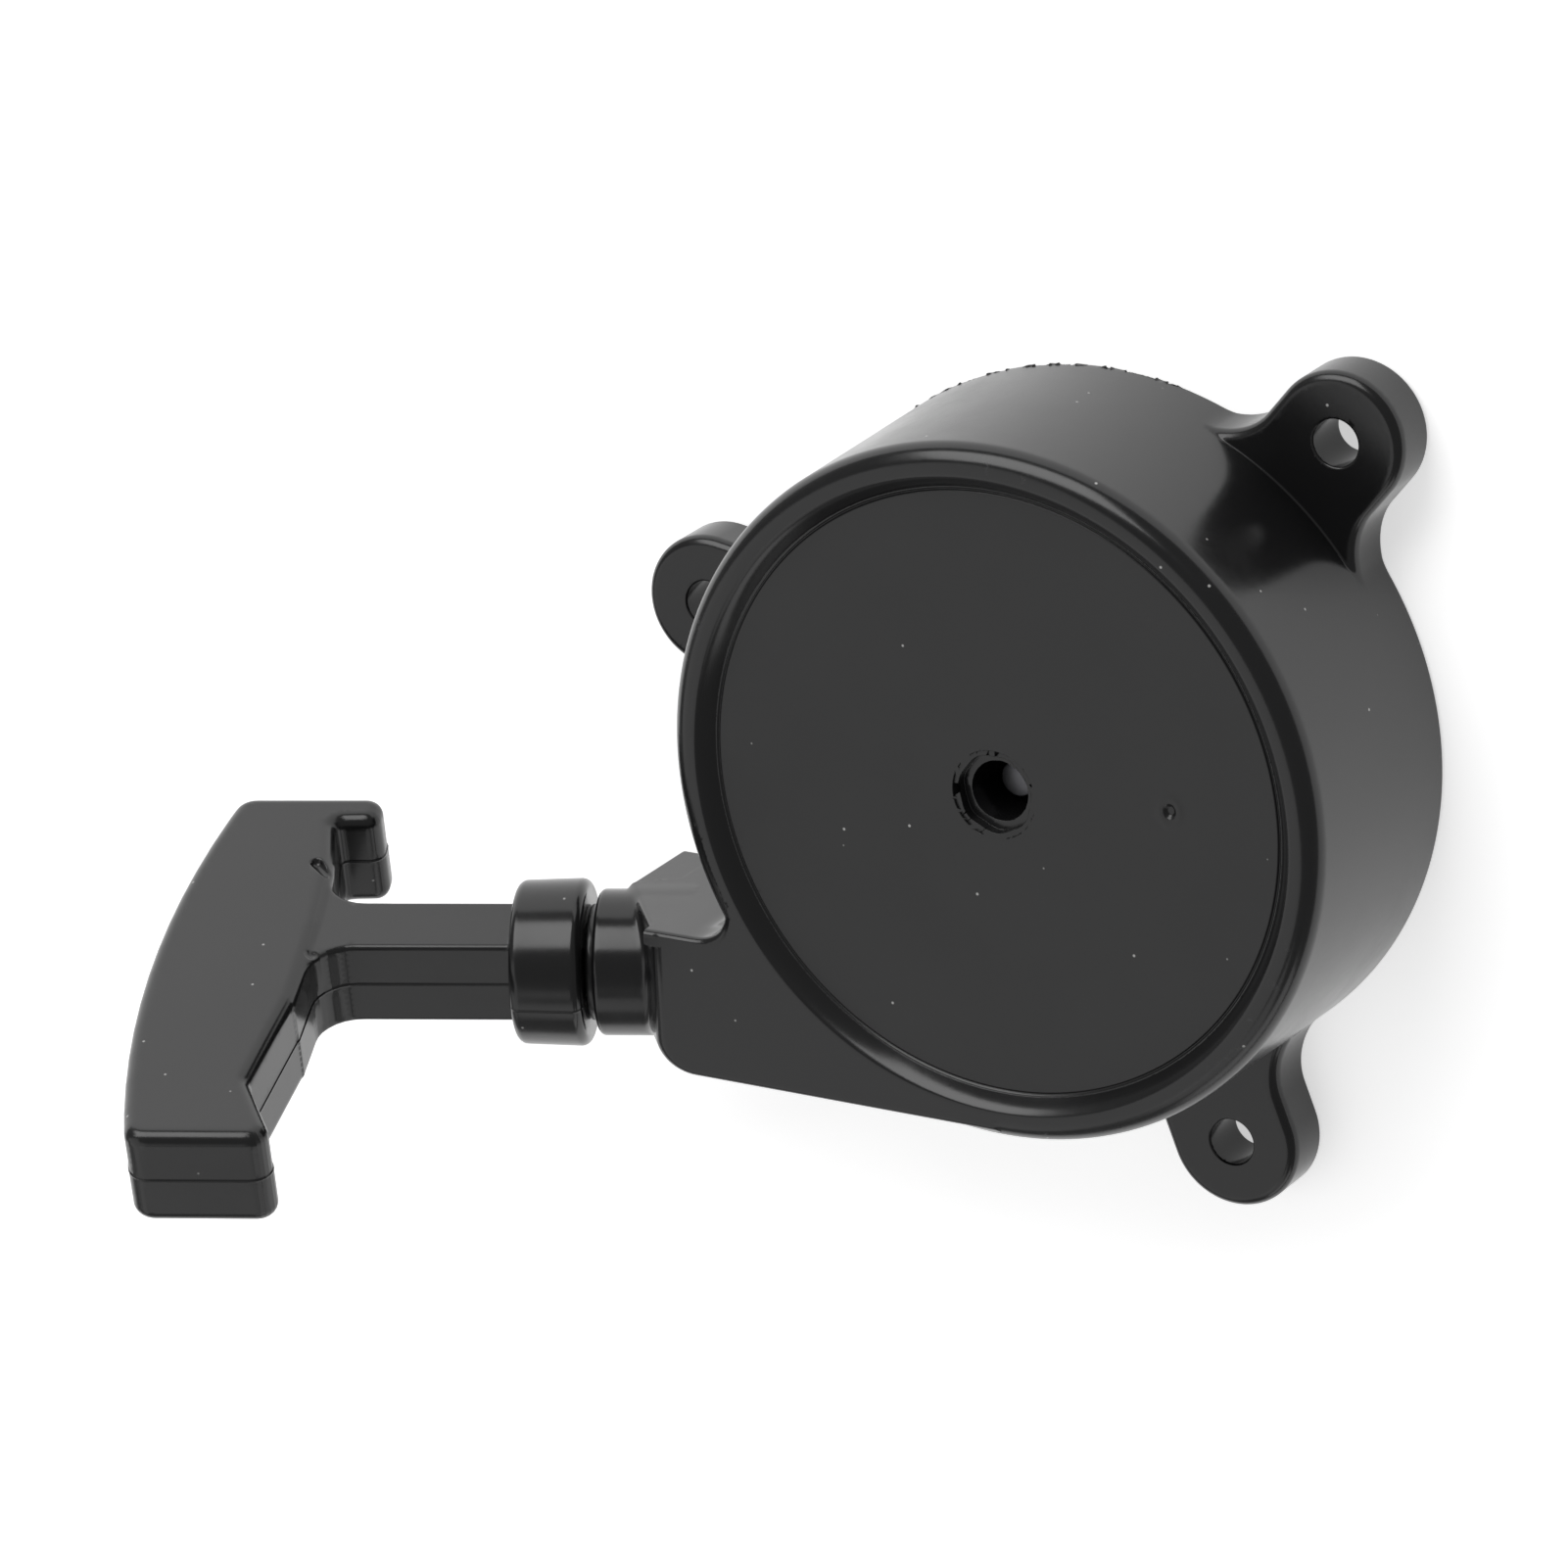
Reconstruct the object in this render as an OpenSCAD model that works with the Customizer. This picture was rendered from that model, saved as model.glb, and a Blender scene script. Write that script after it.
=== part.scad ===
// Recoil starter of a small two-stroke engine, in a moulded cup with three mounting ears.
// Frame: +Z runs along the reel axis towards the closed front of the cup, the origin is the
// centre of the mounting plane (the open back), and the rope leaves towards -X.

/* [Cup] */
// Outer radius of the cup at the mounting plane
cup_back_r = 49; // [48:0.1:51]
// Outer radius of the cup at the front rim
cup_front_r = 48.2; // [47.5:0.1:48.5]
// Height of the rim above the mounting plane
cup_h = 35.6; // [35:0.1:38]
// Depth of the flat front disc below the rim
disc_recess = 2.3; // [1:0.1:3]
// Radius of the recessed disc inside the rim
disc_r = 42; // [40:0.5:43]
// Width of the sloping flank between the disc and the rim
flank_w = 1.9; // [1:0.1:2]
// Rounding of the outer edge of the rim
rim_round = 3; // [1:0.1:3.4]
// Thickness of the moulded walls
wall = 2.5; // [2:0.1:3]

/* [Mounting ears] */
// Diameter of the circle on which the three screw holes lie
ear_pcd = 118.5; // [116:0.5:122]
// Diameter of each screw hole, clearance for M6
ear_hole_d = 6.5; // [6.2:0.1:7]
// Radius of the rounded end of an ear
ear_r = 9.5; // [9:0.1:11]
// Height of an ear above the mounting plane
ear_h = 7.8; // [6:0.1:10]
// Direction of the first ear, measured from +X
ear_angle = 50; // [45:1:55]

/* [Rope outlet] */
// Angle of the rope axis above the mounting plane
rope_angle = 23.5; // [20:0.5:25]
// Outer diameter of the round neck
neck_d = 20.2; // [19:0.1:21]
// Distance of the rope axis from the reel axis, along -Y
rope_offset = 37.6; // [37:0.1:38]
// Diameter of the starter rope
rope_d = 4; // [3.5:0.1:4]

/* [Handle] */
// Diameter of the round collar
collar_d = 23.2; // [20:0.1:24]
// Length of the collar along the rope axis
collar_len = 10; // [8:0.5:12]
// Thickness of the stem across the parting plane
stem_t = 12.8; // [12.4:0.1:14]
// Thickness of the crossbar across the parting plane
bar_t = 14.8; // [14:0.1:16]
// Width of the stem between the fingers
stem_w = 10.5; // [9:0.5:12]
// Reach of the crossbar on its short side of the rope
bar_short = 29; // [28:0.5:32]
// Reach of the crossbar on its long side of the rope
bar_long = 48.8; // [46:0.1:50]
// Turn of the handle about the rope axis
handle_twist = -15; // [-30:1:30]

/* [Hidden] */
$fn = 96;
eps = 0.02;

// Cup
disc_z = cup_h - disc_recess;         // front face of the flat disc
ceiling_z = disc_z - wall;            // inner face of the closed front
cavity_back_r = cup_back_r - wall;
cavity_top_r = cup_front_r - wall;
lip_r = 6.5;                          // countersink round the front hole
hole_r = 5.4;
step_r = 4.15;
step_z = disc_z - 1.8;
floor_z = 22;                         // bottom of the front bore in the post
gate = [26, 1.6];                     // gate mark of the moulding

// Ears
ear_root = 42;                        // inner end, cut away with the cavity
ear_shoulder = 46.3;                  // where the flare leaves the cup
ear_foot = 15.5;                      // half width of the ear at its shoulder
ear_neck = 50.2;                      // where the flare ends
ear_fillet = 7;

// Post and the stack on it
post_r = 6.5;
post_z = 4.7;                         // free end of the post
screw_r = 2.5;
screw_tip_z = 26.6;
washer_r = 9.5;
washer_t = 1.1;
head_r = 4.6;
head_h = 2.4;
head_slot = [5.2, 1.2, 1.3];          // one arm of the cross recess

// Reel
run_gap = 0.05;                       // running clearance of bores on the post and pins
bush_r = 8;
hub_r = 10.5;
hub_top = 29.2;
web_z = 10.2;
web_t = 2.5;
pocket_r = 27.8;
drum_r = 29.3;
flange_r = 37.8;
reel_z = [6.6, 20];
flange_t = 1.6;
coil_r = 36.6;
coil_gap = 0.1;
knot_angle = 240;
knot_r = 3.4;
knot_at = [23.7, 16.2];               // distance from the reel axis, and height
rib_n = 6;
rib_angle = 30;                       // first rib, clear of the pawl pins
rib_t = 1.8;
rib_drop = 1.5;                       // from the reel's top face down to the ribs
knot_drop = 1.5;                      // from the knot's centre down to its rope

// Spring case
case_z = 20.4;
case_t = 0.8;
case_r = 44.6;
case_hole_r = 12;
boss_r = 2.5;
boss_circle = 41.2;
case_screw_n = 3;
case_screw_r = 1.45;
case_screw_head = [2.6, 1.6];
case_screw_slot = [3.2, 0.8, 0.8];
case_screw_len = 8;
case_screw_angle = 105;
spring_t = 0.45;
spring_w = 8;
spring_r = [13, 37.5];
spring_turns = 9;

// Pawls, their guide plate and its friction spring
pawl_circle = 15;                     // radius of the pivot circle
pawl_z = [6.7, 9.8];
pawl_eye_r = 3.3;
pawl_side = [[3.1, -9, 4], [2.9, -13.2, 0.4], [0.4, -13.2, 0.8], [-2.2, -7, 5]];
pawl_swing = 30;
peg_r = 1.1;
peg_at = [0, -6];
pin_r = 1.5;
guide_r = 21.3;
guide_z = [5.0, 6.4];
guide_turn = 30;
guide_window = [14, 3.4];             // distance and radius of the two round windows
slot_gap = 0.3;
pawl_wire_r = 0.35;
pawl_coil_r = 2.4;
pawl_coil_z = web_z + web_t + 0.5;
pawl_coil_h = 1.7;
pawl_leg = [-4.2, -2.6];              // free end of the pawl spring's leg
friction_wire_r = 0.5;
friction_coil_r = 8.1;
coil_turns = 2.5;

// Rope axis: local +Z points out along the rope, local X lies in the vertical plane
neck_r = neck_d / 2;
mouth = [-67.7, -rope_offset, 24.85]; // centre of the neck's mouth
neck_root = 13;                       // length of the neck, its root hidden in the horn
neck_bore_r = 5;
eye_r = 2.5;                          // hole of the guide bush
eye_lip = 0.8;
eye_flange = [8, 1.2];
eye_len = 8;
run_gap_end = 0.4;                    // from the rope run to the bush
run_start = [-17, -35.6, 13.5];       // where the rope has left the coil

// Horn round the rope outlet
horn_front = cup_h;
horn_back = 6;
horn_top_y = -26.9;
horn_low_y = -47.1;
horn_fillet = [-42, 7.5];              // x and radius of the hollow corner at the cup
horn_inner_y = -14;                   // corner hidden in the cup
end_wall_x = -52.5;                   // end wall at the front face
end_wall_tilt = 40;
end_wall_foot = -65.4;                // lower part of the end wall, parallel to the reel axis
way_w = 9.2;                          // slot of the rope through the cup wall
way_side = [[-20, 8.2], [-20, 19.6], [-58, 26.2], [-60, 24], [-58, 17.6]];

// Handle
collar_z = 1.4;
bar_back_z = 60.9;                    // highest point of the crossbar's back
bar_back_r = 160;
bar_apex_x = 17;
finger_long = [[0, 38.6, 0], [18, 39.6, 3], [36, 42.8, 2]];   // finger side, [x, z, corner radius]
finger_short = [[-23.4, 33.9, 2], [-23.2, 40, 1.5], [-12, 38.6, 2]];
stem_long = [[stem_w / 2, 38.6, 5], [18, 39.6, 0], [18, 43, 0]];   // corners inside the crossbar
stem_short = [[-14, 43, 0], [-14, 38.8, 0], [-stem_w / 2, 38.2, 5]];
tip_long = [bar_long, 37.3];          // hooked tips of the crossbar
tip_short = [-bar_short, 33.7];
tip_r = 2.5;
recess_r = 4.8;                       // pocket of the knot, open at the back
recess_z = 47;
rope_hole_r = 2.4;
knot_washer_t = 1.2;
handle_knot_r = 3.8;

// Points of a closed outline whose corners [x, y, radius] are rounded, convex or hollow
function unit(v) = v / norm(v);
function corner(a, b, c, steps = 6) =
    let (u = unit([a.x - b.x, a.y - b.y]), w = unit([c.x - b.x, c.y - b.y]),
         half = acos(u * w) / 2, r = b[2], reach = r / tan(half),
         mid = unit(u + w), centre = [b.x, b.y] + mid * (r / sin(half)),
         from = [b.x, b.y] + u * reach - centre, to = [b.x, b.y] + w * reach - centre,
         a0 = atan2(from.y, from.x), turn = atan2(from.x * to.y - from.y * to.x, from * to))
    r <= 0 ? [[b.x, b.y]]
           : [for (i = [0:steps]) let (a = a0 + turn * i / steps) centre + r * [cos(a), sin(a)]];
function rounded(p) = [for (i = [0:len(p) - 1])
    each corner(p[(i + len(p) - 1) % len(p)], p[i], p[(i + 1) % len(p)])];

// Tube along a list of points, for springs
function ring(p, d, r, n) =
    let (side = unit(cross(d, [0, 0, 1])), up = cross(side, d))
    [for (i = [0:n - 1]) p + r * (cos(360 * i / n) * side + sin(360 * i / n) * up)];
module sweep(path, r, n = 8) {
    last = len(path) - 1;
    rings = [for (i = [0:last])
        ring(path[i], unit(path[min(i + 1, last)] - path[max(i - 1, 0)]), r, n)];
    sides = [for (i = [0:last - 1], j = [0:n - 1])
        [i * n + j, i * n + (j + 1) % n, (i + 1) * n + (j + 1) % n, (i + 1) * n + j]];
    polyhedron([for (r = rings) each r],
               concat(sides, [[for (j = [n - 1:-1:0]) j], [for (j = [0:n - 1]) last * n + j]]));
}
function helix(r, z0, z1, turns, a0 = 0, per_turn = 20) =
    [for (i = [0:turns * per_turn]) let (t = i / (turns * per_turn), a = a0 + 360 * turns * t)
        [r * cos(a), r * sin(a), z0 + (z1 - z0) * t]];

module on_rope() translate(mouth) rotate([0, rope_angle - 90, 0]) children();
module at_z(z) translate([0, 0, z]) children();
module washer(r_in, r_out, t) difference() {
    cylinder(r = r_out, h = t);
    at_z(-eps) cylinder(r = r_in, h = t + 2 * eps);
}

// Cup, post and front hole, as one turned section
module cup_outside() rotate_extrude($fn = 180) polygon(concat(
    [[0, 0], [cup_back_r, 0]],
    [for (a = [0:15:90]) [cup_front_r - rim_round + rim_round * cos(a),
                          cup_h - rim_round + rim_round * sin(a)]],
    [[0, cup_h]]));
// Recess of the front disc, with its sloping flank
module front_recess() rotate_extrude($fn = 180) polygon([
    [0, disc_z], [disc_r, disc_z], [disc_r + flank_w, cup_h],
    [disc_r + flank_w, cup_h + 1], [0, cup_h + 1]]);
module cup_inside() rotate_extrude($fn = 180) polygon([
    [post_r, ceiling_z], [cavity_top_r, ceiling_z], [cavity_back_r, -1],
    [0, -1], [0, post_z], [post_r, post_z]]);
module front_hole() {
    at_z(disc_z - 0.7) cylinder(r1 = hole_r, r2 = lip_r, h = 0.7 + eps);
    at_z(step_z) cylinder(r = hole_r, h = 3);
    at_z(floor_z) cylinder(r = step_r, h = 12);
    at_z(0) cylinder(r = screw_r + run_gap, h = 30);
}

// One mounting ear: a rounded end that flares into the wall of the cup
module ear() linear_extrude(ear_h) {
    translate([ear_pcd / 2, 0]) circle(r = ear_r);
    polygon(rounded([
        [ear_root, ear_foot, 0], [ear_shoulder, ear_foot, 0], [ear_neck, ear_r, ear_fillet],
        [ear_pcd / 2, ear_r, 0], [ear_pcd / 2, -ear_r, 0],
        [ear_neck, -ear_r, ear_fillet], [ear_shoulder, -ear_foot, 0], [ear_root, -ear_foot, 0]]));
}
module each_ear() for (i = [0:2]) rotate([0, 0, ear_angle + 120 * i]) children();

// Horn: a straight box round the outlet, its end wall slanted at the front
module horn() {
    knee_z = horn_front + (end_wall_foot - end_wall_x) / tan(end_wall_tilt);
    intersection() {
        at_z(horn_back) linear_extrude(horn_front - horn_back)
            polygon(rounded([
                [0, horn_low_y, 0], [2 * end_wall_foot, horn_low_y, 0],
                [2 * end_wall_foot, horn_top_y, 0],
                [horn_fillet[0], horn_top_y, horn_fillet[1]],
                [horn_fillet[0], horn_inner_y, 0], [0, horn_inner_y, 0]]));
        rotate([90, 0, 0]) linear_extrude(120, center = true)
            polygon([[0, horn_back], [0, horn_front], [end_wall_x, horn_front],
                     [end_wall_foot, knee_z], [end_wall_foot, horn_back]]);
    }
    on_rope() at_z(-neck_root) cylinder(r = neck_r, h = neck_root);
}
// Way of the rope from the cup into the neck
module rope_way() {
    translate([0, -rope_offset, 0]) rotate([90, 0, 0])
        linear_extrude(way_w, center = true) polygon(way_side);
    on_rope() at_z(-neck_root - 1) cylinder(r = neck_bore_r, h = neck_root + 2);
}

module each_case_screw() for (i = [0:case_screw_n - 1])
    rotate([0, 0, case_screw_angle + 120 * i]) translate([boss_circle, 0, 0]) children();

module housing() color([0.10, 0.10, 0.10]) difference() {
    union() {
        difference() {
            union() {
                cup_outside();
                each_ear() ear();
                horn();
            }
            cup_inside();
            front_recess();
            front_hole();
            rope_way();
        }
        each_case_screw() at_z(case_z + case_t)
            cylinder(r = boss_r, h = ceiling_z - case_z - case_t + 1);
    }
    each_ear() translate([ear_pcd / 2, 0, -1]) cylinder(d = ear_hole_d, h = ear_h + 2);
    each_case_screw() at_z(case_z) cylinder(r = case_screw_r, h = case_screw_len + 0.6);
    translate([gate.x, gate.y, disc_z - 0.3]) washer(0.5, 1.5, 1);
}

// Guide bush pressed into the neck, with a flange on its mouth
module rope_bush() color([0.13, 0.13, 0.14]) on_rope() rotate_extrude() polygon([
    [eye_r, -eye_len], [neck_bore_r, -eye_len], [neck_bore_r, 0], [eye_flange[0], 0],
    eye_flange, [eye_r + eye_lip, eye_flange[1]], [eye_r, eye_flange[1] - eye_lip]]);

module thrust_washer() color([0.75, 0.75, 0.76])
    at_z(hub_top + 0.4) washer(post_r + run_gap, bush_r + 2, ceiling_z - hub_top - 0.4);

module spring_case() color([0.68, 0.69, 0.70]) difference() {
    at_z(case_z) rotate_extrude($fn = 180) polygon([[case_hole_r, 0], [case_r, 0],
        [case_r, ceiling_z - case_z - 0.1], [case_r - case_t, ceiling_z - case_z - 0.1],
        [case_r - case_t, case_t], [case_hole_r, case_t]]);
    each_case_screw() at_z(case_z - 1) cylinder(r = case_screw_r + 0.15, h = 3);
}
// Cross recess in the underside of a screw head
module cross_recess(arm) {
    cube([arm.x, arm.y, 2 * arm.z], center = true);
    cube([arm.y, arm.x, 2 * arm.z], center = true);
}
module spring_case_screws() color([0.70, 0.70, 0.72]) each_case_screw() at_z(case_z) {
    cylinder(r = case_screw_r, h = case_screw_len);
    at_z(-case_screw_head[1]) difference() {
        cylinder(r = case_screw_head[0], h = case_screw_head[1]);
        cross_recess(case_screw_slot);
    }
}

// Flat spiral spring, wound on edge in its case
function spiral_r(t) = spring_r[0] + (spring_r[1] - spring_r[0]) * t;
function spiral(t, side) = let (a = 360 * spring_turns * t)
    (spiral_r(t) + side) * [cos(a), sin(a)];
module recoil_spring() color([0.35, 0.37, 0.40])
    at_z(case_z + case_t + 0.6) linear_extrude(spring_w) let (n = spring_turns * 20)
        polygon(concat([for (i = [0:n]) spiral(i / n, spring_t / 2)],
                       [for (i = [n:-1:0]) spiral(i / n, -spring_t / 2)]));

module centre_screw() color([0.45, 0.45, 0.47]) difference() {
    union() {
        at_z(post_z - washer_t - eps)
            cylinder(r = screw_r, h = screw_tip_z - post_z + washer_t + eps);
        at_z(post_z - washer_t - head_h) cylinder(r = head_r, h = head_h);
    }
    at_z(post_z - washer_t - head_h) cross_recess(head_slot);
}
module retaining_washer() color([0.72, 0.72, 0.74])
    at_z(post_z - washer_t) washer(screw_r + run_gap, washer_r, washer_t);

// Rope from the coil to the inner end of the guide bush
module rope_run() color([0.85, 0.85, 0.83]) let (
    end = mouth + (eye_len + run_gap_end) * [cos(rope_angle), 0, -sin(rope_angle)],
    way = end - run_start)
    translate(run_start) rotate([0, acos(way.z / norm(way)), atan2(way.y, way.x)])
        cylinder(d = rope_d, h = norm(way));

// Reel: hub, web, drum with two flanges and ribs, and the pocket of the pawls
module reel() color([0.16, 0.16, 0.17]) difference() {
    union() {
        rotate_extrude($fn = 180) polygon([[bush_r, web_z], [pocket_r, web_z], [pocket_r, reel_z[0]],
            [flange_r, reel_z[0]], [flange_r, reel_z[0] + flange_t], [drum_r, reel_z[0] + flange_t],
            [drum_r, reel_z[1] - flange_t], [flange_r, reel_z[1] - flange_t], [flange_r, reel_z[1]],
            [pocket_r, reel_z[1]], [pocket_r, web_z + web_t], [hub_r, web_z + web_t],
            [hub_r, hub_top], [bush_r, hub_top]]);
        for (i = [0:rib_n - 1]) rotate([0, 0, rib_angle + 360 * i / rib_n])
            translate([hub_r - 0.5, -rib_t / 2, web_z + web_t - eps])
                cube([pocket_r - hub_r + 1, rib_t, reel_z[1] - rib_drop - web_z - web_t]);
    }
    at_knot() translate([pocket_r - 1 - knot_at[0], 0, -knot_drop]) rotate([0, 90, 0])
        cylinder(d = rope_d + 0.4, h = 3.5);
    for (a = [0, 180]) rotate([0, 0, a])
        translate([pawl_circle, 0, 0]) cylinder(r = pin_r, h = 14);
}
module reel_bush() color([0.75, 0.62, 0.32])
    at_z(web_z) washer(post_r + run_gap, bush_r, hub_top - web_z);
module rope_coil() color([0.85, 0.85, 0.83])
    at_z(reel_z[0] + flange_t + coil_gap)
        washer(drum_r + coil_gap, coil_r, reel_z[1] - reel_z[0] - 2 * (flange_t + coil_gap));
module at_knot() rotate([0, 0, knot_angle]) translate([knot_at[0], 0, knot_at[1]]) children();
module reel_knot() color([0.85, 0.85, 0.83]) at_knot() {
    sphere(r = knot_r);
    at_z(-knot_drop) rotate([0, 90, 0]) cylinder(d = rope_d, h = drum_r - coil_gap - knot_at[0]);
}

// Pivot pin of a pawl, pressed into the web
module pawl_pin() color([0.78, 0.78, 0.80]) translate([pawl_circle, 0, pawl_z[0] - 0.1])
    cylinder(r = pin_r, h = web_z + web_t + 0.6 - pawl_z[0]);
module pawl_pin_a() pawl_pin();
module pawl_pin_b() rotate([0, 0, 180]) pawl_pin();

// Return spring of a pawl: a coil round the pin above the web, and one leg
module pawl_spring() color([0.62, 0.63, 0.66]) translate([pawl_circle, 0, 0])
    sweep(concat(helix(pawl_coil_r, pawl_coil_z, pawl_coil_z + pawl_coil_h, coil_turns, 90),
                 [[pawl_leg.x, pawl_leg.y, pawl_coil_z + pawl_coil_h]]), pawl_wire_r);
module pawl_spring_a() pawl_spring();
module pawl_spring_b() rotate([0, 0, 180]) pawl_spring();

// Path of a pawl's peg seen from the guide plate, as both turn
function turn2(p, a) = [p.x * cos(a) - p.y * sin(a), p.x * sin(a) + p.y * cos(a)];
function peg_path(t) = turn2([pawl_circle, 0] + turn2(peg_at, pawl_swing * t), -guide_turn * t);
module guide_plate() color([0.66, 0.67, 0.69]) {
    n = 12;
    path = [for (i = [0:n]) peg_path(i / n)];
    side = [for (i = [0:n]) let (d = unit(path[min(i + 1, n)] - path[max(i - 1, 0)]))
        (peg_r + slot_gap) * [-d.y, d.x]];
    at_z(guide_z[0]) difference() {
        cylinder(r = guide_r, h = guide_z[1] - guide_z[0]);
        at_z(-1) cylinder(r = post_r + run_gap, h = 4);
        for (a = [0, 180]) rotate([0, 0, a]) at_z(-1) {
            linear_extrude(4) polygon(concat([for (i = [0:n]) path[i] + side[i]],
                                             [for (i = [n:-1:0]) path[i] - side[i]]));
            for (p = [path[0], path[n]]) translate(p) cylinder(r = peg_r + slot_gap, h = 4);
        }
        for (a = [90, 270]) rotate([0, 0, a])
            translate([guide_window[0], 0, -1]) cylinder(r = guide_window[1], h = 4);
    }
}
module friction_spring() color([0.62, 0.63, 0.66])
    sweep(helix(friction_coil_r, guide_z[1] + 0.55, web_z - 0.85, coil_turns), friction_wire_r);

// Pawl: an eye on its pin, a tongue with a toothed tip, and the peg in the guide plate
module pawl() color([0.70, 0.70, 0.72]) translate([pawl_circle, 0, 0]) difference() {
    union() {
        at_z(pawl_z[0]) linear_extrude(pawl_z[1] - pawl_z[0]) {
            circle(r = pawl_eye_r);
            polygon(rounded(concat([[pawl_eye_r, 0, 0]], pawl_side, [[-pawl_eye_r, 0, 0]])));
        }
        translate([peg_at.x, peg_at.y, guide_z[0] - 0.2])
            cylinder(r = peg_r, h = pawl_z[1] - guide_z[0]);
    }
    cylinder(r = pin_r + run_gap, h = 20);
}
module pawl_a() pawl();
module pawl_b() rotate([0, 0, 180]) pawl();

// Straight rope through the bush and the stem to the knot in the crossbar
module rope_lead() color([0.85, 0.85, 0.83])
    on_rope() at_z(-eye_len) cylinder(d = rope_d, h = eye_len + recess_z + knot_washer_t);
module handle_knot() color([0.85, 0.85, 0.83])
    on_rope() at_z(recess_z + knot_washer_t + handle_knot_r) sphere(r = handle_knot_r);
module knot_washer() color([0.72, 0.72, 0.74])
    on_rope() at_z(recess_z) washer(rope_d / 2, recess_r - 0.3, knot_washer_t);

// One-piece grip: collar, rectangular stem and bowed crossbar with flared ends
function back_z(x) = bar_back_z - (x - bar_apex_x) * (x - bar_apex_x) / (2 * bar_back_r);
module handle() color([0.12, 0.12, 0.12]) on_rope() rotate([0, 0, handle_twist]) difference() {
    union() {
        at_z(collar_z) cylinder(d = collar_d, h = collar_len);
        rotate([90, 0, 0]) linear_extrude(stem_t, center = true) polygon(rounded(concat(
            [[-stem_w / 2, collar_z + 2, 0], [stem_w / 2, collar_z + 2, 0]],
            stem_long, stem_short)));
        rotate([90, 0, 0]) linear_extrude(bar_t, center = true) polygon(rounded(concat(
            finger_long,
            [[tip_long.x, tip_long.y, tip_r], [bar_long, back_z(bar_long), tip_r]],
            [for (x = [bar_long - 6:-8:8 - bar_short]) [x, back_z(x), 0]],
            [[-bar_short, back_z(-bar_short), tip_r], [tip_short.x, tip_short.y, tip_r]],
            finger_short)));
    }
    cylinder(r = rope_hole_r, h = 80);
    at_z(recess_z) cylinder(r = recess_r, h = 30);
    at_z(collar_z - 1) cylinder(r = eye_flange[0] - 3, h = 3);
}

housing();
rope_bush();
thrust_washer();
spring_case();
spring_case_screws();
recoil_spring();
centre_screw();
retaining_washer();
rope_run();
reel();
reel_bush();
rope_coil();
reel_knot();
pawl_pin_a();
pawl_pin_b();
pawl_spring_a();
pawl_spring_b();
guide_plate();
friction_spring();
pawl_a();
pawl_b();
rope_lead();
handle_knot();
knot_washer();
handle();
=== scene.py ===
"""Looks of a recoil starter: moulded cup with three ears and a rope outlet, T handle, rope, reel, pawls.

Lengths are millimetres until a mesh is made, which turns them into metres. The housing and the handle
are written as distances to their surface, negative inside, and are meshed from those distances.
"""

import math

import bmesh
import bpy
import numpy as np
from mathutils import Matrix, Vector


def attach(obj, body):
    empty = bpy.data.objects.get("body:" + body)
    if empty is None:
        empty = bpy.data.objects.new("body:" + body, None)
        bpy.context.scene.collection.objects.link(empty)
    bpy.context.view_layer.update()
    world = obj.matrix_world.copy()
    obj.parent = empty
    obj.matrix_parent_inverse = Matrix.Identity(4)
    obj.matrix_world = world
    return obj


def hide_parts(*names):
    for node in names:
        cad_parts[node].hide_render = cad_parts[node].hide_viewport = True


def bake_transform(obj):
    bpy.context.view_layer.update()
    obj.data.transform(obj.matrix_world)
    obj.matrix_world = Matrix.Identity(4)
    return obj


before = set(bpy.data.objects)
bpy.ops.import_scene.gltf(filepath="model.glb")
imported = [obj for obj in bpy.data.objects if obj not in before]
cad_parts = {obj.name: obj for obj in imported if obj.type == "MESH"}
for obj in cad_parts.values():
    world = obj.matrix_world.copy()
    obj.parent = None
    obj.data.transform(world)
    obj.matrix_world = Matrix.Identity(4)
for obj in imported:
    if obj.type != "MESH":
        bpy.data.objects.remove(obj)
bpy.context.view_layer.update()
MM = 0.001

# ---------------------------------------------------------------- sizes, in millimetres
# Cup: slightly conical outside and inside, open at the back (z 0)
BACK_R = 49.0
FRONT_R = 48.2
CUP_H = 35.6
RIM_ROUND = 3.0
CAVITY_BACK_R = 46.5
CAVITY_TOP_R = 45.7
CEILING_Z = 30.8
POST_R = 6.5
POST_Z = 4.7
MOUTH_EDGE = 0.35
CREASE = 0.3

# Front: sunk disc inside the rim, with a stepped hole and a gate mark
DISC_Z = 33.3
DISC_R = 42.0
FLANK_W = 2.4
GATE_X = 26
GATE_Y = 1.6
FRONT_HOLE_R = 5.35
FRONT_HOLE_DEPTH = 1.8
FRONT_STEP_R = 6.1
FRONT_STEP_DEPTH = 0.35
INNER_HOLE_R = 4.15
INNER_HOLE_FOOT = 22
POST_BORE_R = 2.55
POST_BORE_TOP = 30

# Ears
EAR_AT = 59.25
EAR_R = 9.49
EAR_H = 7.8
EAR_FLARE = 7.0
EAR_EDGE = 1.5
EAR_SINK = 0.35
EAR_ANGLES = (50, 170, 290)
EAR_HOLE_R = 3.25

# Horn: the block that carries the rope outlet, with a tilted end wall
HORN_TOP_Y = -26.9
HORN_LOW_Y = -47.1
HORN_BACK_Z = 6.0
HORN_EDGE = 0.9
HORN_LOW_R = 4.5
END_WALL_X = -52.5
END_TILT = 40
END_FOOT = -65.4
STEP_X = -59.2
STEP_Z = 16.3
STEP_DEPTH = 0.35
CORNER_R = 6.5

# Rope outlet
ROPE_ANGLE = 23.5
ROPE_Y = -37.6
ROPE_D = 4.0
NECK_R = 10.1
NECK_ROOT = 13
NECK_BORE = 5
MOUTH = np.array((-67.7, ROPE_Y, 24.85))

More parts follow.
